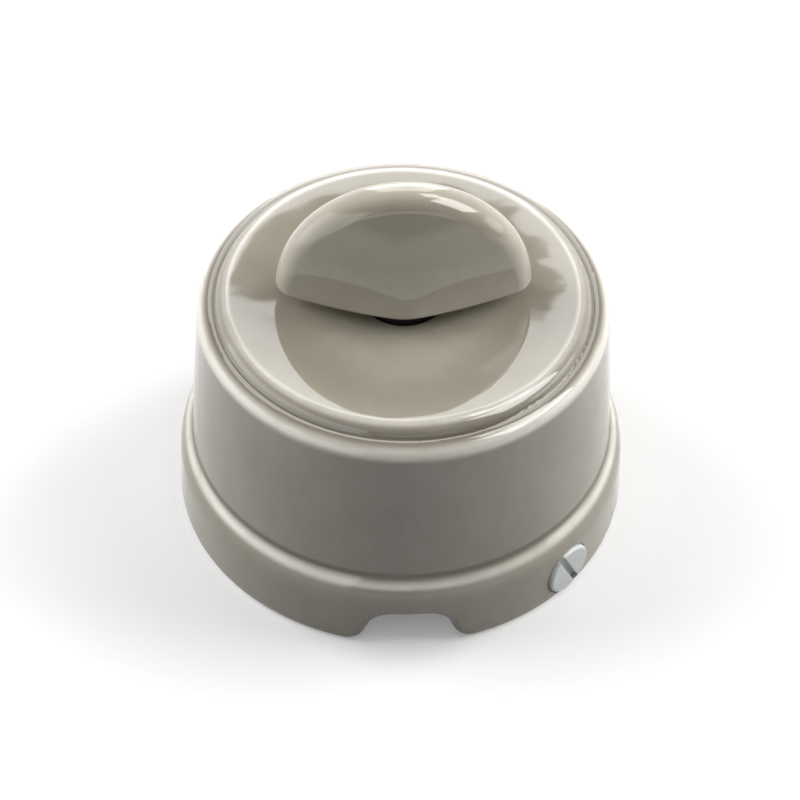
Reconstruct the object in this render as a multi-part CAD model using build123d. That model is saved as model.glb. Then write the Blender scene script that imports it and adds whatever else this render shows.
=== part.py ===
from build123d import *
import math
import os

# A surface-mounted rotary light switch with a glazed porcelain cover and a half-moon knob.
# Millimetres. The origin is the centre of the face that lies on the wall, +Z points out of
# the wall, and the cable enters at -Y. Angles round the switch start at the cable entry and
# grow towards +X.

# Cover, outside
FLANGE_RADIUS = 32.5
FLANGE_DRAFT = 0.4
FLANGE_WALL_HEIGHT = 8.0
FLANGE_CROWN = 4.3
STEP_WIDTH = 2.3
BODY_DRAFT = 1.65
COVER_HEIGHT = 38.0
SHOULDER_ROUNDING = 2.0
DISC_HEIGHT = 1.5
DISC_SETBACK = 4.45
DISC_DISH = 0.95
RIM_ROUNDING = 2.15
FOOT_ROUNDING = 1.2
STEP_ROUNDING = 0.7
GROOVE_ROUNDING = 0.45

# Cover, inside
FLANGE_WALL = 3.5
BODY_WALL = 3.4
TOP_WALL = 3.8
CEILING_ROUNDING = 2.5
HOLE_EDGE_ROUNDING = 0.6

# Cable entry, an arch in the flange with flared feet
ENTRY_BASE_WIDTH = 14.0
ENTRY_TOP_WIDTH = 9.2
ENTRY_HEIGHT = 6.0
ENTRY_TOP_ROUNDING = 3.6
ENTRY_FOOT_ROUNDING = 3.0

# Slotted nylon screws through the flange
COVER_SCREW_ANGLES = (45.0, 225.0)
COVER_SCREW_LAND = 0.4
COVER_SCREW_HEAD_RADIUS = 3.9
COVER_SCREW_HEAD_THICKNESS = 1.8
COVER_SCREW_HEAD_PROUD = 0.1
COVER_SCREW_HEAD_ROUNDING = 0.45
COVER_SCREW_RADIUS = 1.95
COVER_SCREW_SLOT_WIDTH = 1.0
COVER_SCREW_SLOT_DEPTH = 1.0
COVER_SCREW_SLOT_TURN = 27.0
COVER_SCREW_HOLE_CLEARANCE = 0.35
COVER_SCREW_TIP = 0.5
HEAD_RECESS_CLEARANCE = 0.15

# Base plate
BASE_CLEARANCE = 0.5
BASE_THICKNESS = 4.0
BASE_RIM_HEIGHT = 2.0
BASE_RIM_WIDTH = 2.0
BASE_EDGE_ROUNDING = 0.5
CHANNEL_MARGIN = 0.3
CHANNEL_DEPTH = 9.5
CHANNEL_ROUNDING = 3.0
WALL_SLOT_MARGIN = 0.5
WALL_SLOT_RADIUS = 2.2
WALL_SLOT_LENGTH = 8.0
LUG_WIDTH = 10.0
LUG_DEPTH = 7.5
LUG_CLEARANCE = 0.3
INSERT_RADIUS = 2.9
INSERT_LENGTH = 6.0
THREAD_CLEARANCE = 0.05

# Mechanism block
BLOCK_RADIUS = 16.5
BLOCK_EDGE = 0.5
CONTACT_FLOOR = 3.0
CHAMBER_WALL = 5.3
CHAMBER_HEADROOM = 1.5
EAR_WIDTH = 12.0
EAR_CLEARANCE = 2.2
EAR_HEIGHT = 4.5
DETENT_FLOOR = 2.0
DETENT_WALL = 1.4
LEAF_ROOM = 1.3
TURRET_PLATE = 2.5
NECK_RADIUS = 5.6
NECK_CLEARANCE = 0.45
NECK_PROUD = 0.4
NECK_ROUNDING = 0.5
RIB_COUNT = 4
RIB_THICKNESS = 1.8
RIB_REACH = 5.5
RIB_CLEARANCE = 2.4

# Contacts
STRIP_WIDTH = 7.0
STRIP_THICKNESS = 1.0
STRIP_CLEARANCE = 0.1
TIP_RADIUS = 1.7
TIP_HEIGHT = 0.7
TIP_MARGIN = 0.3
CONTACT_GAP = 0.3
BRIDGE_WIDTH = 6.0
BRIDGE_THICKNESS = 1.0
BRIDGE_COLLAR = 1.5
SWEEP_CLEARANCE = 0.6
WASHER_SPRING_RADIUS = 4.6
WASHER_SPRING_HEIGHT = 1.8
WASHER_SPRING_THICKNESS = 0.4

# Terminals
TERMINAL_INSET = 3.5
TERMINAL_SCREW_RADIUS = 2.0
TERMINAL_HEAD_RADIUS = 3.2
TERMINAL_HEAD_THICKNESS = 2.4
TERMINAL_SLOT_WIDTH = 0.9
TERMINAL_SLOT_DEPTH = 1.1
TERMINAL_WASHER_SIDE = 6.6
TERMINAL_WASHER_THICKNESS = 1.0

# Detent: a square cam between two leaf springs clicks every quarter turn
CAM_WIDTH = 12.4
CAM_CORNER = 2.5
CAM_HEIGHT = 6.0
CAM_HUB_RADIUS = 5.5
CAM_CLEARANCE = 0.4
LEAF_THICKNESS = 0.5
LEAF_WIDTH = 5.0
LEAF_GRIP = 1.5
LEAF_GAP = 0.2

# Screws that hold the mechanism to the base plate
STACK_SCREW_INSET = 2.7
STACK_SCREW_RADIUS = 1.45
STACK_HOLE_RADIUS = 1.6
STACK_HEAD_RADIUS = 2.5
STACK_HEAD_THICKNESS = 1.7
NUT_FLATS = 5.5
NUT_THICKNESS = 2.4
NUT_POCKET_CLEARANCE = 0.1

# Spindle
SPINDLE_RADIUS = 3.0
SPINDLE_FLATS = 4.6
SPINDLE_CLEARANCE = 0.07
KEY_CLEARANCE = 0.04
JOURNAL_RADIUS = 2.2
FOOT_CLEARANCE = 0.4
CLIP_RADIUS = 4.9
CLIP_THICKNESS = 0.6
CLIP_GROOVE = 0.5
CLIP_OPENING = 3.6
CLIP_CLEARANCE = 0.15

# Knob: half of a lens-shaped turned form, standing on edge
KNOB_RADIUS = 17.5
KNOB_THICKNESS = 15.9
KNOB_RIM_RADIUS = 3.2
KNOB_RIM_LEAN = 24.0
KNOB_FACE_RADIUS = 80.0
KNOB_NOSE_RADIUS = 9.0
KNOB_EDGE_ROUNDING = 0.9
KNOB_INSERT_DEPTH = 7.5
KNOB_INSERT_MARGIN = 2.35
KNOB_INSERT_LIP = 1.0
KNOB_INSERT_FLANGE_THICKNESS = 0.9
KNOB_INSERT_PROUD = 0.2
KNOB_INSERT_END = 0.8

# Sizes and heights that follow from the ones above
FLANGE_TOP_RADIUS = FLANGE_RADIUS - FLANGE_DRAFT
STEP_HEIGHT = FLANGE_WALL_HEIGHT + FLANGE_CROWN
BODY_BASE_RADIUS = FLANGE_RADIUS - STEP_WIDTH
BODY_TOP_RADIUS = BODY_BASE_RADIUS - BODY_DRAFT
SHOULDER_HEIGHT = COVER_HEIGHT - DISC_HEIGHT
DISC_RADIUS = BODY_TOP_RADIUS - DISC_SETBACK
DISC_DISH_RADIUS = (DISC_RADIUS**2 + DISC_DISH**2) / (2 * DISC_DISH)
CAVITY_RADIUS = FLANGE_RADIUS - FLANGE_WALL
LEDGE = STEP_HEIGHT - BODY_WALL
CEILING = COVER_HEIGHT - TOP_WALL
BASE_RADIUS = CAVITY_RADIUS - BASE_CLEARANCE
RIM_INSIDE = BASE_RADIUS - BASE_RIM_WIDTH
CHANNEL_WIDTH = ENTRY_BASE_WIDTH + 2 * CHANNEL_MARGIN
WALL_SLOT_PLACE = RIM_INSIDE - WALL_SLOT_MARGIN - WALL_SLOT_LENGTH / 2
LUG_TOP = LEDGE - LUG_CLEARANCE
COVER_SCREW_HEIGHT = COVER_SCREW_LAND + HEAD_RECESS_CLEARANCE + COVER_SCREW_HEAD_RADIUS
HEAD_FACE = FLANGE_RADIUS + COVER_SCREW_HEAD_PROUD
HEAD_SEAT = HEAD_FACE - COVER_SCREW_HEAD_THICKNESS
EAR_REACH = math.sqrt((RIM_INSIDE - EAR_CLEARANCE) ** 2 - (EAR_WIDTH / 2) ** 2)
TERMINAL_PLACE = EAR_REACH - TERMINAL_INSET
STACK_SCREW_PLACE = BLOCK_RADIUS - STACK_SCREW_INSET
CHAMBER_RADIUS = BLOCK_RADIUS - CHAMBER_WALL
TIP_PLACE = CHAMBER_RADIUS - SWEEP_CLEARANCE - TIP_MARGIN - TIP_RADIUS
CHAMBER_BOTTOM = BASE_THICKNESS + CONTACT_FLOOR
STRIP_BOTTOM = BASE_THICKNESS + EAR_HEIGHT
STRIP_TOP = STRIP_BOTTOM + STRIP_THICKNESS
MOVING_TIP_BOTTOM = STRIP_TOP + TIP_HEIGHT + CONTACT_GAP
BRIDGE_BOTTOM = MOVING_TIP_BOTTOM + TIP_HEIGHT
BRIDGE_TOP = BRIDGE_BOTTOM + BRIDGE_THICKNESS
HUB_BOTTOM = BRIDGE_TOP + WASHER_SPRING_HEIGHT
CONTACT_TOP = HUB_BOTTOM + CHAMBER_HEADROOM
CAM_BOTTOM = CONTACT_TOP + DETENT_FLOOR + CAM_CLEARANCE
CAM_TOP = CAM_BOTTOM + CAM_HEIGHT
DETENT_TOP = CAM_TOP + CAM_CLEARANCE
TURRET_TOP = DETENT_TOP + TURRET_PLATE
NECK_TOP = COVER_HEIGHT + NECK_PROUD
CLIP_BOTTOM = NECK_TOP + CLIP_CLEARANCE
CLIP_TOP = CLIP_BOTTOM + CLIP_THICKNESS
INSERT_BOTTOM = CLIP_TOP + CLIP_CLEARANCE
KNOB_BOTTOM = INSERT_BOTTOM + KNOB_INSERT_PROUD
INSERT_TOP = KNOB_BOTTOM + KNOB_INSERT_DEPTH
SPINDLE_TOP = INSERT_TOP - KNOB_INSERT_END
SPINDLE_BOTTOM = BASE_THICKNESS + FOOT_CLEARANCE
CAM_REACH = CAM_WIDTH / math.sqrt(2) - CAM_CORNER * (math.sqrt(2) - 1)
LEAF_FACE = CAM_WIDTH / 2 + LEAF_GAP
LEAF_REACH = math.sqrt((BLOCK_RADIUS - DETENT_WALL) ** 2 - (LEAF_FACE + LEAF_THICKNESS) ** 2)
DETENT_CHAMBER_WIDTH = 2 * (CAM_REACH + LEAF_THICKNESS + LEAF_ROOM)
DETENT_CHAMBER_LENGTH = 2 * (LEAF_REACH - LEAF_GRIP)
KNOB_INSERT_FLANGE = KNOB_THICKNESS / 2 - KNOB_INSERT_MARGIN
KNOB_INSERT_RADIUS = KNOB_INSERT_FLANGE - KNOB_INSERT_LIP

# Cutting tools run past the faces that they open
OVERSHOOT = 1.0


def rod(radius, bottom, top, place=(0, 0)):
    """An upright cylinder between two heights."""
    shape = Cylinder(radius, top - bottom, align=(Align.CENTER, Align.CENTER, Align.MIN))
    return Pos(place[0], place[1], bottom) * shape


def block(width, length, bottom, top, place=(0, 0)):
    """An upright block, centred on a place, between two heights."""
    align = (Align.CENTER, Align.CENTER, Align.MIN)
    return Pos(place[0], place[1], bottom) * Box(width, length, top - bottom, align=align)


def outward(angle):
    """A frame whose +X points outwards at an angle round the switch."""
    return Rot(0, 0, angle - 90)


def radial_rod(radius, start, end, angle, height):
    """A level cylinder that points outwards between two radii."""
    shape = Cylinder(radius, end - start, align=(Align.CENTER, Align.CENTER, Align.MIN))
    return outward(angle) * Pos(start, 0, height) * Rot(0, 90, 0) * shape


def turned(outline):
    """Turn a closed outline of radius and height about the Z axis."""
    return revolve(Plane.XZ * outline, Axis.Z)


def corner(outline, x, y):
    """The corner of a flat outline that lies nearest to a point."""
    return outline.vertices().sort_by_distance((x, y, 0))[0]


def keyed_rod(bottom, top, clearance):
    """The spindle's section with its two flats."""
    flats = SPINDLE_FLATS + 2 * clearance
    width = 2 * (SPINDLE_RADIUS + clearance)
    return rod(SPINDLE_RADIUS + clearance, bottom, top) & block(width, flats, bottom, top)


def cover_outline():
    """Half section of the cover's outside, from the foot to the raised disc."""
    rim_centre = COVER_HEIGHT - RIM_ROUNDING
    rim_drop = SHOULDER_HEIGHT - rim_centre
    groove = DISC_RADIUS + math.sqrt(RIM_ROUNDING**2 - rim_drop**2)
    foot = (FLANGE_RADIUS, 0)
    flange_top = (FLANGE_TOP_RADIUS, FLANGE_WALL_HEIGHT)
    step = (BODY_BASE_RADIUS, STEP_HEIGHT)
    shoulder = (BODY_TOP_RADIUS, SHOULDER_HEIGHT)
    groove_start = (groove, SHOULDER_HEIGHT)
    disc_edge = (DISC_RADIUS, COVER_HEIGHT)
    disc_middle = (0, COVER_HEIGHT - DISC_DISH)
    lean = (FLANGE_TOP_RADIUS - FLANGE_RADIUS, FLANGE_WALL_HEIGHT)
    edges = [
        Polyline((0, 0), foot, flange_top),
        TangentArc(flange_top, step, tangent=lean),
        Polyline(step, shoulder, groove_start),
        RadiusArc(groove_start, disc_edge, -RIM_ROUNDING),
        RadiusArc(disc_edge, disc_middle, DISC_DISH_RADIUS),
        Line(disc_middle, (0, 0)),
    ]
    outline = make_face(Curve() + edges)
    outline = fillet(corner(outline, *step), STEP_ROUNDING)
    outline = fillet(corner(outline, *shoulder), SHOULDER_ROUNDING)
    return fillet(corner(outline, *groove_start), GROOVE_ROUNDING)


def cavity_outline():
    """Half section of the room inside the cover, open towards the wall."""
    body = (BODY_BASE_RADIUS - BODY_WALL, STEP_HEIGHT - BODY_WALL / 2)
    top = (BODY_TOP_RADIUS - BODY_WALL, CEILING)
    outline = make_face(
        Polyline(
            (0, -OVERSHOOT),
            (CAVITY_RADIUS, -OVERSHOOT),
            (CAVITY_RADIUS, LEDGE),
            body,
            top,
            (0, CEILING),
            close=True,
        )
    )
    return fillet(corner(outline, *top), CEILING_ROUNDING)


def entry_cutter():
    """The arch of the cable entry, with its feet flared outwards."""
    half_base = ENTRY_BASE_WIDTH / 2
    half_top = ENTRY_TOP_WIDTH / 2
    flare = half_base + ENTRY_FOOT_ROUNDING + OVERSHOOT
    right = [(half_top, ENTRY_HEIGHT), (half_base, 0), (flare, 0), (flare, -OVERSHOOT)]
    left = [(-x, y) for x, y in reversed(right)]
    outline = make_face(Polyline(*left, *right, close=True))
    for side in (-1, 1):
        outline = fillet(corner(outline, side * half_top, ENTRY_HEIGHT), ENTRY_TOP_ROUNDING)
        outline = fillet(corner(outline, side * half_base, 0), ENTRY_FOOT_ROUNDING)
    inside = CAVITY_RADIUS * math.cos(math.asin(flare / CAVITY_RADIUS)) - OVERSHOOT
    length = FLANGE_RADIUS + OVERSHOOT - inside
    return extrude(Plane.XZ.offset(inside) * outline, length)


def foot_edges(cover):
    """The outer edges of the foot and the cable entry, which run on into each other."""
    middle = FLANGE_RADIUS - FLANGE_WALL / 2
    rings = cover.edges().filter_by(GeomType.CIRCLE).filter_by(lambda edge: edge.radius > middle)
    upper = [ring for ring in rings if ring.center().Z > FLANGE_WALL_HEIGHT / 2]
    chosen = []
    for edge in cover.edges():
        points = [edge @ share for share in (0, 0.25, 0.5, 0.75, 1)]
        outside = all(math.hypot(point.X, point.Y) > middle for point in points)
        low = all(point.Z < STEP_HEIGHT for point in points)
        if outside and low and edge not in upper:
            chosen.append(edge)
    return chosen


def make_cover():
    """The porcelain shell with its entry, spindle hole and screw holes."""
    cover = turned(cover_outline())
    cover -= turned(cavity_outline())
    cover -= entry_cutter()
    cover = fillet(foot_edges(cover), FOOT_ROUNDING)
    hole = NECK_RADIUS + NECK_CLEARANCE
    cover -= rod(hole, CEILING - OVERSHOOT, COVER_HEIGHT + OVERSHOOT)
    rings = cover.edges().filter_by(GeomType.CIRCLE).filter_by(lambda edge: edge.is_closed)
    hole_rings = rings.sort_by(SortBy.RADIUS)[:2]
    cover = fillet(hole_rings.sort_by(Axis.Z)[-1], HOLE_EDGE_ROUNDING)
    for angle in COVER_SCREW_ANGLES:
        shank = COVER_SCREW_RADIUS + COVER_SCREW_HOLE_CLEARANCE
        recess = COVER_SCREW_HEAD_RADIUS + HEAD_RECESS_CLEARANCE
        end = HEAD_FACE + OVERSHOOT
        cover -= radial_rod(shank, CAVITY_RADIUS - OVERSHOOT, end, angle, COVER_SCREW_HEIGHT)
        cover -= radial_rod(recess, HEAD_SEAT, end, angle, COVER_SCREW_HEIGHT)
    return cover


def slotted_head(radius, bottom, top, slot_width, slot_depth, rounding, turn):
    """A round screw head with rounded rim and a straight slot."""
    head = rod(radius, bottom, top)
    head = fillet(head.edges().group_by(Axis.Z)[-1], rounding)
    slot = block(3 * radius, slot_width, top - slot_depth, top + OVERSHOOT)
    return head - Rot(0, 0, turn) * slot


def make_cover_screws():
    """Two slotted nylon screws that hold the cover on the base plate."""
    tip = BASE_RADIUS - INSERT_LENGTH - COVER_SCREW_TIP
    head = slotted_head(
        COVER_SCREW_HEAD_RADIUS,
        HEAD_SEAT,
        HEAD_FACE,
        COVER_SCREW_SLOT_WIDTH,
        COVER_SCREW_SLOT_DEPTH,
        COVER_SCREW_HEAD_ROUNDING,
        COVER_SCREW_SLOT_TURN,
    )
    screw = head + rod(COVER_SCREW_RADIUS, tip, HEAD_SEAT)
    lying = Pos(0, 0, COVER_SCREW_HEIGHT) * Rot(0, 90, 0) * screw
    return [outward(angle) * lying for angle in COVER_SCREW_ANGLES]


def make_base_plate():
    """The plate on the wall, with cable channel, wall slots and screw lugs."""
    plate = rod(BASE_RADIUS, 0, BASE_THICKNESS + BASE_RIM_HEIGHT)
    plate = fillet(plate.edges().group_by(Axis.Z)[-1], BASE_EDGE_ROUNDING)
    plate -= rod(RIM_INSIDE, BASE_THICKNESS, BASE_THICKNESS + BASE_RIM_HEIGHT + OVERSHOOT)
    for angle in COVER_SCREW_ANGLES:
        start = BASE_RADIUS - LUG_DEPTH
        place = (start + LUG_DEPTH / 2, 0)
        lug = outward(angle) * block(LUG_DEPTH, LUG_WIDTH, BASE_THICKNESS / 2, LUG_TOP, place)
        plate += lug & rod(BASE_RADIUS, 0, LUG_TOP)
    for angle in COVER_SCREW_ANGLES:
        end = BASE_RADIUS + OVERSHOOT
        bore = INSERT_RADIUS
        plate -= radial_rod(bore, BASE_RADIUS - INSERT_LENGTH, end, angle, COVER_SCREW_HEIGHT)
        tip = BASE_RADIUS - INSERT_LENGTH - 2 * COVER_SCREW_TIP
        bore = COVER_SCREW_RADIUS + COVER_SCREW_HOLE_CLEARANCE
        plate -= radial_rod(bore, tip, end, angle, COVER_SCREW_HEIGHT)
    channel_end = -BASE_RADIUS + CHANNEL_DEPTH
    channel_length = CHANNEL_DEPTH + OVERSHOOT
    place = (0, channel_end - channel_length / 2)
    top = BASE_THICKNESS + BASE_RIM_HEIGHT + OVERSHOOT
    channel = block(CHANNEL_WIDTH, channel_length, -OVERSHOOT, top, place)
    inner_edges = channel.edges().filter_by(Axis.Z).group_by(Axis.Y)[-1]
    plate -= fillet(inner_edges, CHANNEL_ROUNDING)
    for side in (-1, 1):
        place = Pos(side * WALL_SLOT_PLACE, 0, -OVERSHOOT)
        slot = SlotOverall(WALL_SLOT_LENGTH, 2 * WALL_SLOT_RADIUS)
        plate -= place * extrude(slot, BASE_THICKNESS + 2 * OVERSHOOT)
        pocket = RegularPolygon(NUT_FLATS / 2 + NUT_POCKET_CLEARANCE, 6, major_radius=False)
        pocket_depth = NUT_THICKNESS + 2 * NUT_POCKET_CLEARANCE
        spot = (side * STACK_SCREW_PLACE, 0)
        plate -= Pos(*spot, -OVERSHOOT) * extrude(pocket, OVERSHOOT + pocket_depth)
        plate -= rod(STACK_HOLE_RADIUS, 0, BASE_THICKNESS + OVERSHOOT, spot)
    return plate


def make_screw_inserts():
    """Brass bushes in the lugs, tapped for the cover screws."""
    inserts = []
    for angle in COVER_SCREW_ANGLES:
        start = BASE_RADIUS - INSERT_LENGTH
        insert = radial_rod(INSERT_RADIUS, start, BASE_RADIUS, angle, COVER_SCREW_HEIGHT)
        bore = COVER_SCREW_RADIUS + THREAD_CLEARANCE
        insert -= radial_rod(bore, start, BASE_RADIUS, angle, COVER_SCREW_HEIGHT)
        inserts.append(insert)
    return inserts


def make_contact_base():
    """The lower moulding, with the contact chamber and an ear for each terminal."""
    base = rod(BLOCK_RADIUS, BASE_THICKNESS, CONTACT_TOP)
    ears = block(EAR_WIDTH, 2 * EAR_REACH, BASE_THICKNESS, STRIP_BOTTOM)
    base += chamfer(ears.edges().filter_by(Axis.Z), BLOCK_EDGE)
    base -= rod(CHAMBER_RADIUS, CHAMBER_BOTTOM, CONTACT_TOP + OVERSHOOT)
    way = STRIP_WIDTH + 2 * STRIP_CLEARANCE
    base -= block(way, 2 * (EAR_REACH + OVERSHOOT), STRIP_BOTTOM, CONTACT_TOP + OVERSHOOT)
    base -= rod(JOURNAL_RADIUS + SPINDLE_CLEARANCE, SPINDLE_BOTTOM, CHAMBER_BOTTOM + OVERSHOOT)
    for side in (-1, 1):
        screw = TERMINAL_SCREW_RADIUS + THREAD_CLEARANCE
        base -= rod(screw, SPINDLE_BOTTOM, STRIP_BOTTOM, (0, side * TERMINAL_PLACE))
        spot = (side * STACK_SCREW_PLACE, 0)
        base -= rod(STACK_HOLE_RADIUS, BASE_THICKNESS, CONTACT_TOP, spot)
    return base


def make_fixed_contact(side):
    """A brass strip from its terminal to a tip inside the contact chamber."""
    outer = EAR_REACH - BLOCK_EDGE
    inner = TIP_PLACE - TIP_RADIUS - BLOCK_EDGE
    place = (0, side * (outer + inner) / 2)
    strip = block(STRIP_WIDTH, outer - inner, STRIP_BOTTOM, STRIP_TOP, place)
    strip = chamfer(strip.edges().filter_by(Axis.Z), BLOCK_EDGE)
    screw = TERMINAL_SCREW_RADIUS + THREAD_CLEARANCE
    return strip - rod(screw, STRIP_BOTTOM, STRIP_TOP, (0, side * TERMINAL_PLACE))


def make_tips(bottom):
    """Two contact buttons, one on each side of the spindle."""
    places = [(0, side * TIP_PLACE) for side in (-1, 1)]
    tips = [rod(TIP_RADIUS, bottom, bottom + TIP_HEIGHT, place) for place in places]
    return tips


def make_terminal_washers():
    """Square washers that clamp the wires."""
    washers = []
    for side in (-1, 1):
        place = (0, side * TERMINAL_PLACE)
        top = STRIP_TOP + TERMINAL_WASHER_THICKNESS
        washer = block(TERMINAL_WASHER_SIDE, TERMINAL_WASHER_SIDE, STRIP_TOP, top, place)
        washer = chamfer(washer.edges().filter_by(Axis.Z), BLOCK_EDGE)
        washers.append(washer - rod(TERMINAL_SCREW_RADIUS + THREAD_CLEARANCE, STRIP_TOP, top, place))
    return washers


def make_terminal_screws():
    """Slotted screws over the washers."""
    seat = STRIP_TOP + TERMINAL_WASHER_THICKNESS
    head = slotted_head(
        TERMINAL_HEAD_RADIUS,
        seat,
        seat + TERMINAL_HEAD_THICKNESS,
        TERMINAL_SLOT_WIDTH,
        TERMINAL_SLOT_DEPTH,
        BLOCK_EDGE,
        0,
    )
    screw = head + rod(TERMINAL_SCREW_RADIUS, SPINDLE_BOTTOM + FOOT_CLEARANCE, seat)
    return [Pos(0, side * TERMINAL_PLACE, 0) * screw for side in (-1, 1)]


def make_detent_housing():
    """The middle moulding: a chamber for the cam with a groove for each leaf end."""
    housing = rod(BLOCK_RADIUS, CONTACT_TOP, DETENT_TOP)
    floor = CONTACT_TOP + DETENT_FLOOR
    top = DETENT_TOP + OVERSHOOT
    chamber = block(DETENT_CHAMBER_WIDTH, DETENT_CHAMBER_LENGTH, floor, top)
    housing -= fillet(chamber.edges().filter_by(Axis.Z), CAM_CORNER)
    housing -= rod(CAM_HUB_RADIUS + CAM_CLEARANCE, CONTACT_TOP, top)
    for side in (-1, 1):
        middle = side * (LEAF_FACE + LEAF_THICKNESS / 2)
        length = DETENT_CHAMBER_LENGTH + 2 * LEAF_GRIP
        housing -= block(LEAF_THICKNESS + LEAF_GAP, length, floor, top, (middle, 0))
        spot = (side * STACK_SCREW_PLACE, 0)
        housing -= rod(STACK_HOLE_RADIUS, CONTACT_TOP, DETENT_TOP, spot)
    return housing


def make_leaf(side):
    """A leaf spring beside the cam, held at both ends in the housing."""
    floor = CONTACT_TOP + DETENT_FLOOR
    place = (side * (LEAF_FACE + LEAF_THICKNESS / 2), 0)
    length = DETENT_CHAMBER_LENGTH + 2 * LEAF_GRIP - LEAF_GAP
    return block(LEAF_THICKNESS, length, floor, floor + LEAF_WIDTH, place)


def make_turret():
    """The top moulding: a plate with a ribbed neck that guides the spindle."""
    turret = rod(BLOCK_RADIUS, DETENT_TOP, TURRET_TOP)
    neck = rod(NECK_RADIUS, DETENT_TOP, NECK_TOP)
    turret += fillet(neck.edges().group_by(Axis.Z)[-1], NECK_ROUNDING)
    inner = (SPINDLE_RADIUS + NECK_RADIUS) / 2
    outer = NECK_RADIUS + RIB_REACH
    foot = TURRET_TOP - TURRET_PLATE / 2
    top = CEILING - RIB_CLEARANCE
    rib = make_face(
        Polyline(
            (inner, foot),
            (outer, foot),
            (outer, TURRET_TOP),
            (NECK_RADIUS, top),
            (inner, top),
            close=True,
        )
    )
    rib = extrude(Plane.XZ * rib, RIB_THICKNESS / 2, both=True)
    for number in range(RIB_COUNT):
        turret += Rot(0, 0, (number + 0.5) * 360 / RIB_COUNT) * rib
    turret -= rod(SPINDLE_RADIUS + SPINDLE_CLEARANCE, DETENT_TOP, NECK_TOP)
    for side in (-1, 1):
        turret -= rod(STACK_HOLE_RADIUS, DETENT_TOP, TURRET_TOP, (side * STACK_SCREW_PLACE, 0))
    return turret


def make_stack_screws():
    """Two long screws through the three mouldings and the base plate."""
    head = slotted_head(
        STACK_HEAD_RADIUS,
        TURRET_TOP,
        TURRET_TOP + STACK_HEAD_THICKNESS,
        TERMINAL_SLOT_WIDTH,
        TERMINAL_SLOT_DEPTH,
        BLOCK_EDGE,
        0,
    )
    screw = head + rod(STACK_SCREW_RADIUS, NUT_POCKET_CLEARANCE, TURRET_TOP)
    return [Pos(side * STACK_SCREW_PLACE, 0, 0) * screw for side in (-1, 1)]


def make_nuts():
    """Hexagon nuts in pockets in the back of the base plate."""
    nut = extrude(RegularPolygon(NUT_FLATS / 2, 6, major_radius=False), NUT_THICKNESS)
    nut -= rod(STACK_SCREW_RADIUS + THREAD_CLEARANCE, 0, NUT_THICKNESS)
    places = [(side * STACK_SCREW_PLACE, 0, 2 * NUT_POCKET_CLEARANCE) for side in (-1, 1)]
    return [Pos(*place) * nut for place in places]


def make_spindle():
    """The shaft: a foot journal, flats for bridge and cam, a neck journal and keyed end."""
    foot = MOVING_TIP_BOTTOM
    spindle = rod(JOURNAL_RADIUS, SPINDLE_BOTTOM, foot)
    spindle += keyed_rod(foot, CAM_TOP, 0)
    spindle += rod(SPINDLE_RADIUS, CAM_TOP, CLIP_TOP)
    spindle += keyed_rod(CLIP_TOP, SPINDLE_TOP, 0)
    groove = rod(SPINDLE_RADIUS + OVERSHOOT, CLIP_BOTTOM, CLIP_TOP)
    return spindle - (groove - rod(SPINDLE_RADIUS - CLIP_GROOVE, CLIP_BOTTOM, CLIP_TOP))


def make_clip():
    """The open ring that keeps the spindle in the neck."""
    clip = rod(CLIP_RADIUS, CLIP_BOTTOM, CLIP_TOP)
    clip -= rod(SPINDLE_RADIUS - CLIP_GROOVE + THREAD_CLEARANCE, CLIP_BOTTOM, CLIP_TOP)
    opening = block(CLIP_OPENING, CLIP_RADIUS + OVERSHOOT, CLIP_BOTTOM, CLIP_TOP)
    return clip - Pos(0, (CLIP_RADIUS + OVERSHOOT) / 2, 0) * opening


def make_bridge():
    """The brass bar that joins the two fixed contacts when it lies over them."""
    length = 2 * (CHAMBER_RADIUS - SWEEP_CLEARANCE)
    bar = block(BRIDGE_WIDTH, length, BRIDGE_BOTTOM, BRIDGE_TOP)
    bar &= rod(length / 2, BRIDGE_BOTTOM, BRIDGE_TOP)
    bar += rod(SPINDLE_RADIUS + BRIDGE_COLLAR, BRIDGE_BOTTOM, BRIDGE_TOP)
    return bar - keyed_rod(BRIDGE_BOTTOM, BRIDGE_TOP, KEY_CLEARANCE)


def make_washer_spring():
    """A dished spring washer that presses the bridge down."""
    inner = SPINDLE_RADIUS + 2 * THREAD_CLEARANCE
    wall = WASHER_SPRING_THICKNESS
    section = make_face(
        Polyline(
            (inner, HUB_BOTTOM - wall),
            (inner, HUB_BOTTOM),
            (inner + wall, HUB_BOTTOM),
            (WASHER_SPRING_RADIUS, BRIDGE_TOP + wall),
            (WASHER_SPRING_RADIUS, BRIDGE_TOP),
            (WASHER_SPRING_RADIUS - wall, BRIDGE_TOP),
            close=True,
        )
    )
    return turned(section)


def make_cam():
    """The square cam with rounded corners and the hub below it."""
    cam = block(CAM_WIDTH, CAM_WIDTH, CAM_BOTTOM, CAM_TOP)
    cam = fillet(cam.edges().filter_by(Axis.Z), CAM_CORNER)
    cam += rod(CAM_HUB_RADIUS, HUB_BOTTOM, CAM_BOTTOM)
    return cam - keyed_rod(HUB_BOTTOM, CAM_TOP, KEY_CLEARANCE)


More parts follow.
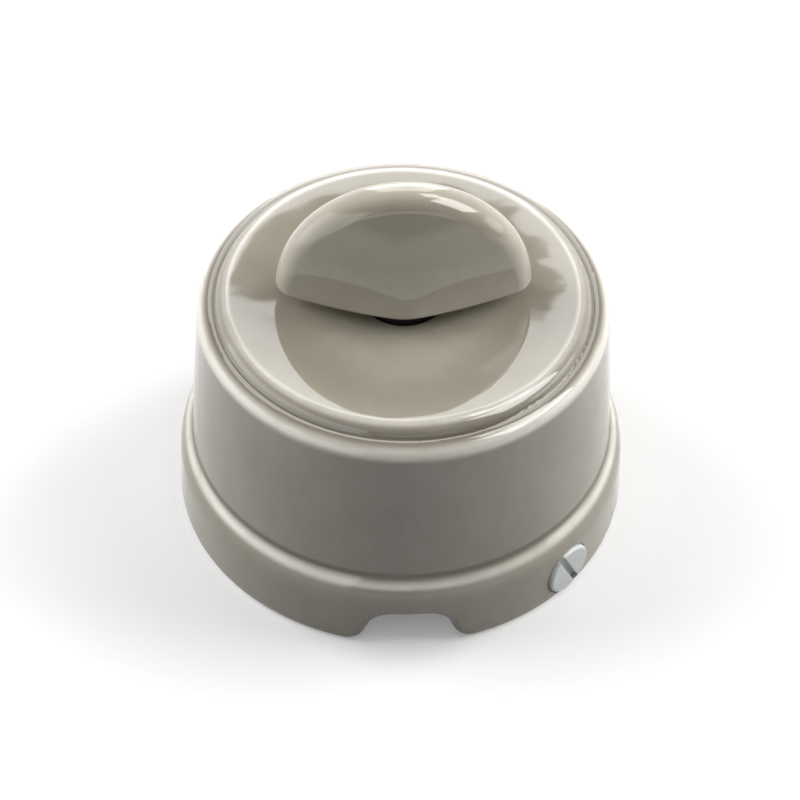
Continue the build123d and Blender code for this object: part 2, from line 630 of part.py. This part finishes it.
def lens_outline():
    """Outline of the knob from above: two bowed faces, round ends and a soft nose."""
    lean = math.radians(KNOB_RIM_LEAN)
    rim_centre = KNOB_RADIUS - KNOB_RIM_RADIUS
    touch_x = rim_centre + KNOB_RIM_RADIUS * math.sin(lean)
    touch_y = KNOB_RIM_RADIUS * math.cos(lean)
    nose = KNOB_THICKNESS / 2
    outline = make_face(
        Curve()
        + [
            RadiusArc((-touch_x, touch_y), (0, nose), KNOB_FACE_RADIUS),
            RadiusArc((0, nose), (touch_x, touch_y), KNOB_FACE_RADIUS),
            ThreePointArc((touch_x, touch_y), (KNOB_RADIUS, 0), (touch_x, -touch_y)),
            RadiusArc((touch_x, -touch_y), (0, -nose), KNOB_FACE_RADIUS),
            RadiusArc((0, -nose), (-touch_x, -touch_y), KNOB_FACE_RADIUS),
            ThreePointArc((-touch_x, -touch_y), (-KNOB_RADIUS, 0), (-touch_x, touch_y)),
        ]
    )
    for side in (-1, 1):
        outline = fillet(corner(outline, 0, side * nose), KNOB_NOSE_RADIUS)
    return outline


def make_knob():
    """The half-moon: half of the lens, turned over the top, with a socket below."""
    size = 2 * KNOB_RADIUS
    half = lens_outline() & Pos(size / 2, 0) * Rectangle(size, size)
    knob = Pos(0, 0, KNOB_BOTTOM) * revolve(half, Axis.Y, -180)
    lower_edges = knob.edges().group_by(Axis.Z)[0]
    knob = fillet(lower_edges, KNOB_EDGE_ROUNDING)
    knob -= rod(KNOB_INSERT_RADIUS, KNOB_BOTTOM, INSERT_TOP)
    flange_top = INSERT_BOTTOM + KNOB_INSERT_FLANGE_THICKNESS
    return knob - rod(KNOB_INSERT_FLANGE, KNOB_BOTTOM, flange_top)


def make_knob_insert():
    """The black socket in the knob that takes the keyed end of the spindle."""
    flange_top = INSERT_BOTTOM + KNOB_INSERT_FLANGE_THICKNESS
    insert = rod(KNOB_INSERT_RADIUS, INSERT_BOTTOM, INSERT_TOP)
    insert += rod(KNOB_INSERT_FLANGE, INSERT_BOTTOM, flange_top)
    return insert - keyed_rod(INSERT_BOTTOM, SPINDLE_TOP + THREAD_CLEARANCE, KEY_CLEARANCE)


def write(name, shape):
    """Write one piece, or a group of like pieces, under its name."""
    if isinstance(shape, list):
        shape = Compound(children=[Solid(piece.solid().wrapped) for piece in shape])
    export_step(shape, os.path.join("parts", name + ".step"))


def main():
    os.makedirs("parts", exist_ok=True)
    write("cover", make_cover())
    write("cover_screws", make_cover_screws())
    write("base_plate", make_base_plate())
    write("screw_inserts", make_screw_inserts())
    write("contact_base", make_contact_base())
    write("fixed_contact_front", make_fixed_contact(-1))
    write("fixed_contact_back", make_fixed_contact(1))
    write("fixed_tips", make_tips(STRIP_TOP))
    write("terminal_washers", make_terminal_washers())
    write("terminal_screws", make_terminal_screws())
    write("detent_housing", make_detent_housing())
    write("detent_spring_left", make_leaf(-1))
    write("detent_spring_right", make_leaf(1))
    write("spindle_turret", make_turret())
    write("mechanism_screws", make_stack_screws())
    write("mechanism_nuts", make_nuts())
    write("spindle", make_spindle())
    write("retaining_clip", make_clip())
    write("contact_bridge", make_bridge())
    write("bridge_tips", make_tips(MOVING_TIP_BOTTOM))
    write("spring_washer", make_washer_spring())
    write("detent_cam", make_cam())
    write("knob_insert", make_knob_insert())
    write("knob", make_knob())


main()
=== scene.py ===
"""Studio scene of a surface-mounted rotary light switch in glazed porcelain.

Metres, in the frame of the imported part: the wall face lies on the floor, +Z points up out of
it, and the cable entry is at -Y.
"""

import math

import bpy
import numpy as np
from mathutils import Matrix, Vector

MM = 0.001

# Camera, fitted to the outline of the object: a long lens from above and in front
STUDIO_TURN = -3.0
CAMERA_ELEVATION = 47.607
CAMERA_ROLL = 1.0
CAMERA_DISTANCE = 371.675 * MM
CAMERA_ASIDE = 0.2241 * MM
CAMERA_ABOVE = -10.4776 * MM
LENS = 112.5
SENSOR = 36.0

# Outside of the cover and the knob
FOOT_RADIUS = 32.5 * MM
STEP_RADIUS = 30.2 * MM
STEP_HEIGHT = 12.3 * MM
SHOULDER_RADIUS = 27.9 * MM
SHOULDER_HEIGHT = 35.9 * MM
GROOVE_RADIUS = 25.8 * MM
GROOVE_HEIGHT = 36.5 * MM
DISC_EDGE_RADIUS = 24.5 * MM
DISC_HEIGHT = 38.0 * MM
DISH_RADIUS = 19.0 * MM
DISH_HEIGHT = 37.5 * MM
KNOB_BOTTOM = 39.5 * MM
KNOB_RADIUS = 17.5 * MM

# The two rooms under the cover, one over the other: radius and top. Their walls and tops are
# bare porcelain, and so is the foot, up to a ragged line
LOWER_ROOM = (29.0 * MM, 10.6 * MM)
UPPER_ROOM = (26.8 * MM, 34.25 * MM)
ROOM_MARGIN = 0.05 * MM
BARE_FOOT_TOP = 0.16 * MM
GLAZE_BOTTOM = 0.24 * MM
RAGGED = 0.12 * MM

# Rings round the axis: radius, height, reach and strength. The first rings make the edges
# paler, as thinner glaze and a painted highlight
THIN_GLAZE_AND_HIGHLIGHT_RINGS = [
    (FOOT_RADIUS, 0.1 * MM, 1.0 * MM, 0.9),
    (STEP_RADIUS + 1.0 * MM, STEP_HEIGHT - 0.7 * MM, 1.2 * MM, 1.0),
    (SHOULDER_RADIUS + 0.4 * MM, SHOULDER_HEIGHT - 0.3 * MM, 1.4 * MM, 1.1),
    (DISC_EDGE_RADIUS, DISC_HEIGHT - 0.2 * MM, 0.9 * MM, 0.5),
]
# Deeper glaze in the corner at the step and in the groove, partly as gathered glaze and partly
# as painted shade, and over the dish as painted shade
POOLED_GLAZE_AND_SHADE_RINGS = [
    (STEP_RADIUS, STEP_HEIGHT + 0.4 * MM, 1.0 * MM, 1.0),
    (GROOVE_RADIUS + 0.7 * MM, GROOVE_HEIGHT, 1.3 * MM, 1.0),
    # Painted shade over the dish
    (DISH_RADIUS, DISH_HEIGHT, 8.0 * MM, 0.35),
]
# Cores of the lines, at full strength within them: pale lines of painted highlight, dark lines
# of painted shade
THIN_AND_HIGHLIGHT_CORE = 0.15 * MM
POOLED_AND_SHADE_CORE = 0.1 * MM

# How much paler the knob's glaze is along its arc and its lower edge, as thinner glaze and a
# painted highlight, and over its lower half, as painted light; and how much darker it is low in
# its middle, as painted shade.
# Each has where it starts and where it is full
KNOB_ARC = (KNOB_RADIUS - 0.7 * MM, KNOB_RADIUS)
KNOB_ARC_THIN_AND_HIGHLIGHT = 0.15
KNOB_EDGE = (0.9 * MM, 0.1 * MM)
KNOB_EDGE_THIN_AND_HIGHLIGHT = 0.5
KNOB_LOWER = (10.0 * MM, 0.5 * MM)
KNOB_LOWER_PAINTED_LIGHT = 0.35
KNOB_MIDDLE_WIDTH = (3.0 * MM, 0.5 * MM)
KNOB_MIDDLE_HEIGHT = (9.0 * MM, 2.0 * MM)
KNOB_PAINTED_SHADE = 0.1

# The pale lines of thinner glaze and painted highlight wander along their length, by a factor
# that starts at the least and spans the range
UNEVEN_LEAST = 0.65
UNEVEN_RANGE = 0.7

# How rough the surfaces are, and what a grain, lines or dull patches add to it
GLAZE_ROUGHNESS = 0.035
KNOB_ROUGHNESS = 0.025
KNOB_UNEVEN_ROUGHNESS = 0.02
BARE_ROUGHNESS = 0.655
GRAIN_ROUGHNESS = 0.16
LINES_ROUGHNESS = 0.14
DULL_ROUGHNESS = 0.12

GLAZE_IOR = 1.5
MOULDING_IOR = 1.5
NYLON_IOR = 1.53
ACETAL_IOR = 1.48


def screen(red, green, blue):
    """A colour as scene-linear values, from the 0 to 255 values that a screen shows."""
    shares = [value / 255 for value in (red, green, blue)]
    linear = [s / 12.92 if s < 0.04045 else ((s + 0.055) / 1.055) ** 2.4 for s in shares]
    return (*linear, 1.0)


GLAZE_DEEP = screen(150, 144, 129)
GLAZE_PALE = screen(163, 157, 144)
KNOB_DEEP = screen(163, 155, 138)
KNOB_PALE = screen(175, 168, 151)
# Paler glaze where it is thinner, which also serves as the colour of a painted highlight
GLAZE_THIN_AND_HIGHLIGHT = screen(225, 221, 211)
# Deeper glaze where it gathers, which also serves as the colour of painted shade
GLAZE_POOLED_AND_SHADE = screen(116, 109, 93)
BARE_PORCELAIN = screen(226, 220, 208)
BARE_PORCELAIN_GREY = screen(206, 200, 188)
NYLON = screen(216, 220, 218)
NYLON_GREY = screen(200, 205, 203)
BLACK = screen(18, 18, 17)
BLACK_WORN = screen(34, 33, 31)
BRASS = screen(214, 178, 104)
BRASS_DULL = screen(178, 142, 78)
SILVER = screen(232, 230, 226)
SILVER_DULL = screen(190, 188, 182)
STEEL = screen(196, 199, 202)
STEEL_DULL = screen(158, 162, 166)
SPRING = screen(150, 151, 154)
SPRING_BLUED = screen(112, 116, 128)
ACETAL = screen(232, 231, 225)
ACETAL_GREY = screen(214, 213, 206)


class Wire:
    """One output socket of a node. Arithmetic on it adds Math nodes."""

    def __init__(self, finish, socket):
        self.finish = finish
        self.socket = socket

    def maths(self, operation, *values):
        numbered = dict(enumerate(values))
        return self.finish.add("ShaderNodeMath", numbered, operation=operation)

    def __add__(self, other):
        return self.maths("ADD", self, other)

    def __sub__(self, other):
        return self.maths("SUBTRACT", self, other)

    def __rsub__(self, other):
        return self.maths("SUBTRACT", other, self)

    def __mul__(self, other):
        return self.maths("MULTIPLY", self, other)

    def __pow__(self, other):
        return self.maths("POWER", self, other)

    def __abs__(self):
        return self.maths("ABSOLUTE", self)

    __radd__ = __add__
    __rmul__ = __mul__

    def or_more(self, other):
        return self.maths("MAXIMUM", self, other)


class Finish:
    """A node tree in the making. Every node in it comes from add()."""

    def __init__(self, tree):
        self.tree = tree
        self.tree.nodes.clear()

    def add(self, kind, values=None, output=0, **settings):
        """Add a node: its type, its settings, then the values or links of its sockets."""
        node = self.tree.nodes.new(kind)
        for name, setting in settings.items():
            setattr(node, name, setting)
        for socket, value in (values or {}).items():
            if isinstance(value, Wire):
                self.tree.links.new(value.socket, node.inputs[socket])
            else:
                node.inputs[socket].default_value = value
        return Wire(self, node.outputs[output]) if node.outputs else node

    def parts(self, vector):
        """The X, Y and Z of a vector."""
        outputs = self.add("ShaderNodeSeparateXYZ", {0: vector}).socket.node.outputs
        return [Wire(self, part) for part in outputs]

    def place(self):
        """The point on the object, as a vector and as its three parts."""
        point = self.add("ShaderNodeTexCoord", output="Object")
        return (point, *self.parts(point))

    def rays(self, *kinds):
        """1 for rays of these kinds and 0 for all others."""
        outputs = self.add("ShaderNodeLightPath").socket.node.outputs
        share = Wire(self, outputs[f"Is {kinds[0]} Ray"])
        for kind in kinds[1:]:
            share = share.or_more(Wire(self, outputs[f"Is {kind} Ray"]))
        return share

    def noise(self, point, size, detail=2.0, roughness=0.5, stretch=None):
        """Smooth noise from 0 to 1 with features of about a size in metres."""
        if stretch:
            point = self.add("ShaderNodeMapping", {"Vector": point, "Scale": stretch})
        values = {"Vector": point, "Scale": 1 / size, "Detail": detail, "Roughness": roughness}
        return self.add("ShaderNodeTexNoise", values)

    def fade(self, value, start, end):
        """0 up to start and 1 from end, with a smooth change between them."""
        values = {"Value": value, "From Min": start, "From Max": end}
        return self.add("ShaderNodeMapRange", values, interpolation_type="SMOOTHSTEP")

    def blend(self, share, first, second):
        """The first colour where the share is 0 and the second where it is 1."""
        values = {0: share, 6: first, 7: second}
        return self.add("ShaderNodeMix", values, output=2, data_type="RGBA")

    def bump(self, height, depth, normal=None):
        """A normal from a height between 0 and 1, over a depth in metres."""
        values = {"Height": height, "Distance": depth, "Strength": 1.0}
        if normal:
            values["Normal"] = normal
        return self.add("ShaderNodeBump", values)

    def shade(self, **sockets):
        """The surface shader and the output. Names stand for sockets: base_color and so on."""
        values = {}
        for name, value in sockets.items():
            label = name.replace("_", " ").title().replace("Ior", "IOR")
            values[label] = value
        surface = self.add("ShaderNodeBsdfPrincipled", values)
        self.add("ShaderNodeOutputMaterial", {"Surface": surface})


def new_finish(name):
    """A new material and the node tree that its finish is built in."""
    material = bpy.data.materials.new(name)
    material.use_nodes = True
    return material, Finish(material.node_tree)


def along_rings(finish, radius, height, rings, core):
    """What the strongest ring gives: all its strength in the core, and 0 beyond its reach."""
    share = None
    for ring_radius, ring_height, reach, strength in rings:
        away = ((radius - ring_radius) ** 2 + (height - ring_height) ** 2) ** 0.5
        line = finish.fade(away, reach, core) * strength
        share = line if share is None else share.or_more(line)
    return share


def bare_room(finish, radius, height, room_radius, room_top):
    """1 inside a round room, and a little way into its wall and its top, and 0 outside it."""
    within = finish.fade(radius, room_radius + 2 * ROOM_MARGIN, room_radius + ROOM_MARGIN)
    return within * finish.fade(height, room_top + 4 * ROOM_MARGIN, room_top)


def unevenness(finish, point):
    """A factor round 1 that makes the pale lines of thinner glaze and painted highlight wander
    along their length.
    """
    return finish.noise(point, size=4 * MM, roughness=0.6) * UNEVEN_RANGE + UNEVEN_LEAST


def glaze_tone(finish, point, thin_and_highlight, pooled_and_shade, deep, pale):
    """Glaze colour: cloudy all over, paler along thinner glaze and painted highlights, and
    deeper where glaze gathers and where shade is painted.
    """
    clouds = finish.noise(point, size=11 * MM, detail=3.0, roughness=0.55)
    mottle = finish.noise(point, size=2.6 * MM, detail=4.0, roughness=0.6)
    drift = finish.noise(point, size=5 * MM, stretch=(1.0, 1.0, 0.25))
    depth = clouds * 0.5 + drift * 0.25 + mottle * 0.25
    spread = finish.fade(depth, 0.25, 0.75)
    body = finish.blend(spread, deep, pale)
    # Painted shade and painted highlights, mixed in with deeper and paler glaze
    body = finish.blend(pooled_and_shade, body, GLAZE_POOLED_AND_SHADE)
    return finish.blend(thin_and_highlight, body, GLAZE_THIN_AND_HIGHLIGHT)


def glaze_relief(finish, point):
    """The slight waves and the finer orange peel of a fired glaze."""
    waves = finish.noise(point, size=9 * MM, detail=1.0, roughness=0.4)
    peel = finish.noise(point, size=1.6 * MM, detail=1.0)
    rolled = finish.bump(waves, depth=0.035 * MM)
    return finish.bump(peel, depth=0.0016 * MM, normal=rolled)


def cover_finish():
    """Glaze over the cover with painted highlights on its edges and painted shade in its
    corners and dish, and bare porcelain inside it and under its foot.
    """
    material, finish = new_finish("cover_glaze")
    point, x, y, z = finish.place()
    radius = (x * x + y * y) ** 0.5
    # Painted highlights with thinner glaze on the edges, and painted shade with gathered glaze
    # in the corners and over the dish
    thin_and_highlight = along_rings(finish, radius, z, THIN_GLAZE_AND_HIGHLIGHT_RINGS, THIN_AND_HIGHLIGHT_CORE) * unevenness(finish, point)
    pooled_and_shade = along_rings(finish, radius, z, POOLED_GLAZE_AND_SHADE_RINGS, POOLED_AND_SHADE_CORE)
    ragged = finish.noise(point, size=0.9 * MM, roughness=0.6) * RAGGED
    foot = finish.fade(z + ragged, GLAZE_BOTTOM, BARE_FOOT_TOP)
    lower = bare_room(finish, radius, z, *LOWER_ROOM)
    upper = bare_room(finish, radius, z, *UPPER_ROOM)
    bare = lower.or_more(upper).or_more(foot)
    glaze = glaze_tone(finish, point, thin_and_highlight, pooled_and_shade, GLAZE_DEEP, GLAZE_PALE)
    grain = finish.noise(point, size=0.35 * MM, detail=3.0, roughness=0.7)
    body = finish.blend(grain, BARE_PORCELAIN_GREY, BARE_PORCELAIN)
    finish.shade(
        base_color=finish.blend(bare, glaze, body),
        roughness=bare * (BARE_ROUGHNESS - GLAZE_ROUGHNESS) + GLAZE_ROUGHNESS,
        ior=GLAZE_IOR,
        normal=glaze_relief(finish, point),
    )
    return material


def knob_finish():
    """Glaze over the knob: paler on its arc and lower edge, as thinner glaze and a painted
    highlight, paler over its lower half as painted light, and darker low in its middle as
    painted shade.
    """
    material, finish = new_finish("knob_glaze")
    point, x, y, z = finish.place()
    height = z - KNOB_BOTTOM
    # Painted highlight with thinner glaze along the arc and the lower edge
    arc = finish.fade((x * x + height * height) ** 0.5, *KNOB_ARC) * KNOB_ARC_THIN_AND_HIGHLIGHT
    edge = finish.fade(height, *KNOB_EDGE) * KNOB_EDGE_THIN_AND_HIGHLIGHT
    # Painted light over the lower half
    lower = finish.fade(height, *KNOB_LOWER) * KNOB_LOWER_PAINTED_LIGHT
    thin_and_highlight = arc.or_more(edge).or_more(lower) * unevenness(finish, point)
    # Painted shade low in the middle
    middle = finish.fade(abs(y), *KNOB_MIDDLE_WIDTH) * finish.fade(height, *KNOB_MIDDLE_HEIGHT)
    pooled_and_shade = middle * KNOB_PAINTED_SHADE
    finish.shade(
        base_color=glaze_tone(finish, point, thin_and_highlight, pooled_and_shade, KNOB_DEEP, KNOB_PALE),
        roughness=finish.noise(point, size=3 * MM) * KNOB_UNEVEN_ROUGHNESS + KNOB_ROUGHNESS,
        ior=GLAZE_IOR,
        normal=glaze_relief(finish, point),
    )
    return material


def speckled_finish(name, first, second, size, roughness, relief, **sockets):
    """Two tones of one colour in a fine grain, with a matching relief."""
    material, finish = new_finish(name)
    point = finish.place()[0]
    grain = finish.noise(point, size, detail=4.0, roughness=0.65)
    clouds = finish.noise(point, size=9 * MM)
    share = finish.fade(grain * 0.6 + clouds * 0.4, 0.35, 0.65)
    finish.shade(
        base_color=finish.blend(share, first, second),
        roughness=grain * GRAIN_ROUGHNESS + roughness,
        normal=finish.bump(grain, relief),
        **sockets,
    )
    return material


def metal_finish(name, bright, dull, roughness, stretch):
    """Metal with fine drawn lines and dull patches."""
    material, finish = new_finish(name)
    point = finish.place()[0]
    lines = finish.noise(point, size=0.5 * MM, detail=3.0, roughness=0.6, stretch=stretch)
    patches = finish.noise(point, size=2.5 * MM, detail=3.0, roughness=0.55)
    share = finish.fade(patches, 0.4, 0.72)
    finish.shade(
        base_color=finish.blend(share, bright, dull),
        metallic=1.0,
        roughness=lines * LINES_ROUGHNESS + share * DULL_ROUGHNESS + roughness,
        normal=finish.bump(lines, depth=0.004 * MM),
    )
    return material


def black_moulding():
    """The hard black moulding compound of the collar and the mechanism's blocks."""
    return speckled_finish(
        "black_moulding",
        BLACK,
        BLACK_WORN,
        size=0.3 * MM,
        roughness=0.3,
        relief=0.006 * MM,
        ior=MOULDING_IOR,
    )


def white_nylon():
    """The slightly see-through nylon of the cover screws."""
    return speckled_finish(
        "white_nylon",
        NYLON_GREY,
        NYLON,
        size=0.6 * MM,
        roughness=0.26,
        relief=0.004 * MM,
        subsurface_weight=0.35,
        subsurface_radius=(0.8, 0.9, 1.0),
        subsurface_scale=0.6 * MM,
        ior=NYLON_IOR,
    )


def bare_porcelain():
    """The unglazed porcelain of the base plate."""
    return speckled_finish(
        "bare_porcelain",
        BARE_PORCELAIN_GREY,
        BARE_PORCELAIN,
        size=0.4 * MM,
        roughness=0.6,
        relief=0.02 * MM,
        ior=GLAZE_IOR,
    )


def white_acetal():
    """The slippery white plastic of the cam."""
    return speckled_finish(
        "white_acetal",
        ACETAL_GREY,
        ACETAL,
        size=0.5 * MM,
        roughness=0.3,
        relief=0.004 * MM,
        ior=ACETAL_IOR,
    )


def dress():
    """Give every piece its finish."""
    brass = metal_finish("brass", BRASS, BRASS_DULL, 0.18, stretch=(1.0, 0.15, 1.0))
    silver = metal_finish("silver", SILVER, SILVER_DULL, 0.2, stretch=(1.0, 1.0, 1.0))
    steel = metal_finish("steel", STEEL, STEEL_DULL, 0.2, stretch=(1.0, 1.0, 0.3))
    spring = metal_finish("spring_steel", SPRING, SPRING_BLUED, 0.16, stretch=(1.0, 0.1, 1.0))
    wear = {
        cover_finish(): ["cover"],
        knob_finish(): ["knob"],
        white_nylon(): ["cover_screws"],
        bare_porcelain(): ["base_plate"],
        black_moulding(): ["contact_base", "detent_housing", "spindle_turret", "knob_insert"],
        white_acetal(): ["detent_cam"],
        brass: [
            "screw_inserts",
            "fixed_contact_front",
            "fixed_contact_back",
            "contact_bridge",
            "mechanism_nuts",
        ],
        silver: ["fixed_tips", "bridge_tips"],
        steel: ["terminal_washers", "terminal_screws", "mechanism_screws", "spindle"],
        spring: [
            "detent_spring_left",
            "detent_spring_right",
            "spring_washer",
            "retaining_clip",
        ],
    }
    for material, names in wear.items():
        for name in names:
            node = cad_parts[name]
            node.data.materials.clear()
            node.data.materials.append(material)


# Studio

TARGET = Vector((0, 0, 36 * MM))

# Soft boxes, all aimed at the target: azimuth and elevation in degrees, distance, width, height
# and level, and for one card its turn in degrees. The lamps light the object, and the cards
# only show in its glaze
LAMPS = {
    "light_back": (178, 52, 0.9, 0.8, 0.7, 0.85),
    "light_right": (106, 29, 0.9, 0.7, 0.6, 5.6),
    "light_left": (-106, 29, 0.9, 0.7, 0.6, 4.9),
    "light_top": (0, 70, 1.0, 0.7, 0.6, 1.2),
    "light_front": (0, 25, 1.0, 1.2, 0.5, 0.14),
}
CARDS = {
    "card_back": (180, 32, 1.0, 0.65, 1.06, 4.1),
    "card_window": (83, 49, 0.84, 0.5, 0.46, 8.0, -12),
    "card_right": (88, 14, 1.0, 0.6, 0.3, 2.0),
    "card_left": (-64, 16, 1.0, 1.9, 0.85, 1.7),
    "card_skylight": (119, 66, 0.9, 0.26, 0.24, 7.0),
    "card_front": (3, 13, 1.0, 1.1, 0.2, 0.9),
}

# Power of a soft box, in watts per square metre and level
WATTS_PER_LEVEL = 4.0

# The flag: its place behind the object, its form and the fingers along its right end
FLAG_DISTANCE = 120 * MM
FLAG_ELEVATION = 47.5
FLAG_HALF_WIDTH = 20.0 * MM
FLAG_FOOT = 3.1 * MM
FLAG_HEIGHT = 6.4 * MM
FLAG_ROWS = 61
FLAG_COLUMNS = 25
FLAG_BEND = 1.6
FLAG_TAPER = 0.385
FINGER_REACH = 0.86
FINGER_DEPTH = 0.1
FINGER_START = 0.85 * MM
FINGER_PITCH = 1.95 * MM

# The world: what it gives to light the object, what the glaze sees of it low down and high up,
# and the share of that which is lost on the camera's side. The last two say where these changes
# start and end, by how far up and how far back a direction points
SKY_DIFFUSE = 0.06
SKY_LOW = 1.8
SKY_HIGH = 0.55
SKY_AHEAD = 0.7
SKY_RISE = (0.05, 0.75)
SKY_FRONT = (0.1, -0.7)

# The floor: its size, its tone as seen and as the lamps find it, what it gives off and how
# uneven that is. It gives off more round the object, far away and under the foot, each with
# the distance where that starts, the distance where it is full, and how much it is
FLOOR_SIZE = 6.0
FLOOR_PAPER = 0.84
FLOOR_DIM = 0.2
FLOOR_GLOW = 0.08
FLOOR_TOOTH = 0.01
FLOOR_GLOW_MORE = [(0.04, 0.08, 0.25), (0.12, 0.6, 0.6), (0.034, 0.031, 0.13)]


def direction(azimuth, elevation):
    """A unit vector. Azimuth 0 is towards the camera's side, and 90 to its right."""
    around, up = math.radians(azimuth + STUDIO_TURN), math.radians(elevation)
    level = math.cos(up)
    return Vector((math.sin(around) * level, -math.cos(around) * level, math.sin(up)))


def soft_box(name, for_light, azimuth, elevation, distance, width, height, level, turn=0.0):
    """A soft box that faces the object. It either lights it or only shows in its glaze."""
    light = bpy.data.lights.new(name, "AREA")
    light.shape = "RECTANGLE"
    light.size = width
    light.size_y = height
    light.energy = WATTS_PER_LEVEL * width * height * level
    box = bpy.data.objects.new(name, light)
    away = direction(azimuth, elevation)
    facing = away.to_track_quat("Z", "Y").to_matrix().to_4x4()
    spin = Matrix.Rotation(math.radians(turn), 4, "Z")
    box.matrix_world = Matrix.Translation(TARGET + away * distance) @ facing @ spin
    box.visible_diffuse = for_light
    box.visible_glossy = not for_light
    box.visible_camera = False
    bpy.context.scene.collection.objects.link(box)


def make_lights():
    """Light from both sides, behind and above, and the cards that the glaze mirrors."""
    for name, row in LAMPS.items():
        soft_box(name, True, *row)
    for name, row in CARDS.items():
        soft_box(name, False, *row)


def make_flag():
    """A dark flag close behind the object, which only its glaze mirrors.

    Each row runs from left to right at a height over its foot. Both ends draw in towards the
    top, as a power of 1 minus another power of the height, and a cosine of the height along the
    right end makes blunt fingers.
    """
    share = np.linspace(0.0, 1.0, FLAG_ROWS)[:, None]
    across = np.linspace(-1.0, 1.0, FLAG_COLUMNS)[None, :]
    half = FLAG_HALF_WIDTH * (1.0 - share**FLAG_BEND) ** FLAG_TAPER
    turns = (share * FLAG_HEIGHT - FINGER_START) / FINGER_PITCH
    fingers = FINGER_REACH + FINGER_DEPTH * np.cos(2 * np.pi * turns)
    side = np.where(across > 0, across * fingers, across) * half
    rise = FLAG_FOOT + share * FLAG_HEIGHT + 0 * across
    away = direction(180, FLAG_ELEVATION)
    right = direction(90, 0)
    up = right.cross(-away).normalized()
    middle = np.array(TARGET + away * FLAG_DISTANCE)
    points = middle + side[..., None] * np.array(right) + rise[..., None] * np.array(up)
    rows, columns = side.shape
    first = (np.arange(rows - 1)[:, None] * columns + np.arange(columns - 1)[None, :]).ravel()
    faces = np.stack([first, first + 1, first + columns + 1, first + columns], axis=1)
    mesh = bpy.data.meshes.new("flag")
    mesh.from_pydata(points.reshape(-1, 3), [], faces.tolist())
    flag = bpy.data.objects.new("flag", mesh)
    flag.visible_camera = False
    flag.visible_diffuse = False
    flag.visible_shadow = False
    bpy.context.scene.collection.objects.link(flag)
    material, finish = new_finish("flag_black")
    finish.shade(base_color=(0.0, 0.0, 0.0, 1.0), roughness=1.0, specular_ior_level=0.0)
    mesh.materials.append(material)


def make_world():
    """Even dim light all round, under a white that only the camera sees.

    The glaze sees a pale horizon under a darker ceiling, both darker on the camera's side.
    """
    world = bpy.data.worlds.new("studio")
    world.use_nodes = True
    bpy.context.scene.world = world
    finish = Finish(world.node_tree)
    seen = finish.rays("Camera", "Transmission")
    glossy = finish.rays("Glossy")
    way = finish.add("ShaderNodeTexCoord", output="Generated")
    _, along, up = finish.parts(way)
    ceiling = finish.fade(up, *SKY_RISE)
    ahead = finish.fade(along, *SKY_FRONT)
    mirrored = (SKY_LOW + ceiling * (SKY_HIGH - SKY_LOW)) * (1 - ahead * SKY_AHEAD)
    level = glossy * mirrored + (1 - glossy) * SKY_DIFFUSE
    level = seen + (1 - seen) * level
    light = finish.add("ShaderNodeBackground", {"Color": (1, 1, 1, 1), "Strength": level})
    finish.add("ShaderNodeOutputWorld", {"Surface": light})


def make_floor():
    """A paper floor that keeps the shadow and looks whiter away from the object.

    What it gives off, only the camera and the glaze see. To the lamps it is a dim grey, so
    that it throws little light back.
    """
    half = FLOOR_SIZE / 2
    mesh = bpy.data.meshes.new("floor")
    corners = [(-half, -half, 0), (half, -half, 0), (half, half, 0), (-half, half, 0)]
    mesh.from_pydata(corners, [], [(0, 1, 2, 3)])
    floor = bpy.data.objects.new("floor", mesh)
    bpy.context.scene.collection.objects.link(floor)
    material, finish = new_finish("floor_paper")
    seen = finish.rays("Camera", "Transmission", "Glossy")
    point, x, y, _ = finish.place()
    away = (x * x + y * y) ** 0.5
    glow = finish.noise(point, size=2 * MM) * FLOOR_TOOTH + FLOOR_GLOW
    for start, end, strength in FLOOR_GLOW_MORE:
        glow = glow + finish.fade(away, start, end) * strength
    tones = [(tone, tone, tone, 1.0) for tone in (FLOOR_DIM, FLOOR_PAPER)]
    dim, pale = (finish.add("ShaderNodeBsdfDiffuse", {"Color": tone}) for tone in tones)
    lift = finish.add("ShaderNodeEmission", {"Color": glow})
    paper = finish.add("ShaderNodeAddShader", {0: pale, 1: lift})
    surface = finish.add("ShaderNodeMixShader", {0: seen, 1: dim, 2: paper})
    finish.add("ShaderNodeOutputMaterial", {"Surface": surface})
    mesh.materials.append(material)


def make_camera():
    """The camera at the photograph's angle: above, in front and rolled by a degree."""
    data = bpy.data.cameras.new("camera")
    data.sensor_fit = "HORIZONTAL"
    data.sensor_width = SENSOR
    data.lens = LENS
    data.clip_start = 0.01
    data.clip_end = 20.0
    tilt = math.radians(CAMERA_ELEVATION)
    right = Vector((1, 0, 0))
    up = Vector((0, math.sin(tilt), math.cos(tilt)))
    ahead = Vector((0, math.cos(tilt), -math.sin(tilt)))
    place = -(CAMERA_ASIDE * right + CAMERA_ABOVE * up + CAMERA_DISTANCE * ahead)
    axes = Matrix((right, up, -ahead)).transposed().to_4x4()
    roll = Matrix.Rotation(math.radians(CAMERA_ROLL), 4, "Z")
    turn = Matrix.Rotation(math.radians(STUDIO_TURN), 4, "Z")
    camera = bpy.data.objects.new("camera", data)
    camera.matrix_world = turn @ Matrix.Translation(place) @ axes @ roll
    bpy.context.scene.collection.objects.link(camera)
    bpy.context.scene.camera = camera


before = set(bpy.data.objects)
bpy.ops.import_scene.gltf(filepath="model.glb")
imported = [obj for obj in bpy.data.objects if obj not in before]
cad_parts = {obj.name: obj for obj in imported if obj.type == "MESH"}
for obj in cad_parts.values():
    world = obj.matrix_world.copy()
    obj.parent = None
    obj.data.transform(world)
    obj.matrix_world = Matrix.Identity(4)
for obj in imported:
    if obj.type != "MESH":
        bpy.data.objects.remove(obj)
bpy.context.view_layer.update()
dress()
make_floor()
make_world()
make_lights()
make_flag()
make_camera()
bpy.context.scene.view_settings.view_transform = "Standard"
